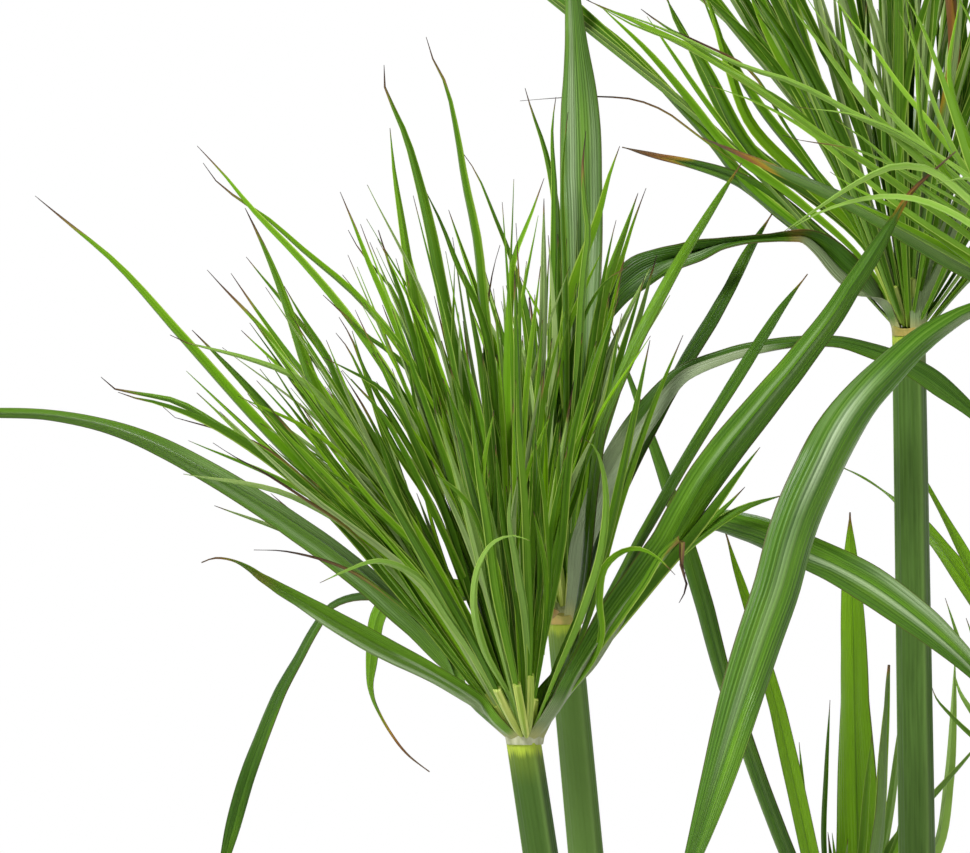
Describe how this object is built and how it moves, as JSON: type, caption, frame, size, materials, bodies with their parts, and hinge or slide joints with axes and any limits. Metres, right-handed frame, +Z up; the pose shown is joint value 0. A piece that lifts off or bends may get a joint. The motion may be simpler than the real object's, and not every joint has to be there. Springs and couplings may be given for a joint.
{
  "type": "potted papyrus plant",
  "caption": "Potted papyrus: tall three-cornered green stems topped by umbels of long arching bracts and grass-like rays, planted in soil in a plain tapered clay pot.",
  "frame": {"origin": "centre of the pot's flat underside", "axes": "+Z up along the pot's axis, -Y towards the plant's front, +X to the viewer's right when it is seen from the front"},
  "size_m": [0.4732, 0.4, 0.9391],
  "materials": {
    "pot": "dry unglazed fired clay",
    "soil": "damp crumbly potting soil",
    "stem": "smooth satin green skin with fine lengthwise lines",
    "sheath": "dry papery brown sheath",
    "rays": "satin yellow-green blades with dry brown tips",
    "bract": "waxy ribbed green leaf, paler underneath"
  },
  "bodies": {
    "root": {"bract_a_big_right": "bract", "bract_a_left_arch": "bract", "bract_a_mid_right": "bract", "bract_a_narrow_right": "bract", "bract_a_right_arch": "bract", "bract_a_short_left": "bract", "bract_b_back_right": "bract", "bract_b_left_droop": "bract", "bract_b_right_arch": "bract", "bract_b_small_droop": "bract", "bract_b_upright": "bract", "bract_c_back_arch": "bract", "bract_c_brown_tip": "bract", "bract_c_kinked": "bract", "bract_c_right_arch": "bract", "bract_c_upright": "bract", "bract_d_front_arch": "bract", "bract_d_long_arch": "bract", "bract_d_right_arch": "bract", "bract_d_upright": "bract", "bract_e_back_blade": "bract", "bract_e_front_arch": "bract", "bract_e_left_blade": "bract", "bract_e_right_arch": "bract", "bract_f_back_arch": "bract", "bract_f_left_blade": "bract", "bract_f_rear_blade": "bract", "bract_f_right_arch": "bract", "bract_g_left": "bract", "bract_g_long_left": "bract", "bract_g_right": "bract", "bract_g_upright": "bract", "bract_h_left": "bract", "bract_h_right": "bract", "bract_h_tall": "bract", "pot": "pot", "rays_a": "rays", "rays_b": "rays", "rays_c": "rays", "rays_d": "rays", "rays_e": "rays", "rays_f": "rays", "rays_g": "rays", "sheath_a": "sheath", "sheath_b": "sheath", "sheath_c": "sheath", "sheath_d": "sheath", "sheath_e": "sheath", "sheath_f": "sheath", "sheath_g": "sheath", "sheath_h": "sheath", "soil": "soil", "stem_a": "stem", "stem_b": "stem", "stem_c": "stem", "stem_d": "stem", "stem_e": "stem", "stem_f": "stem", "stem_g": "stem", "stem_h": "stem"}
  },
  "joints": []
}
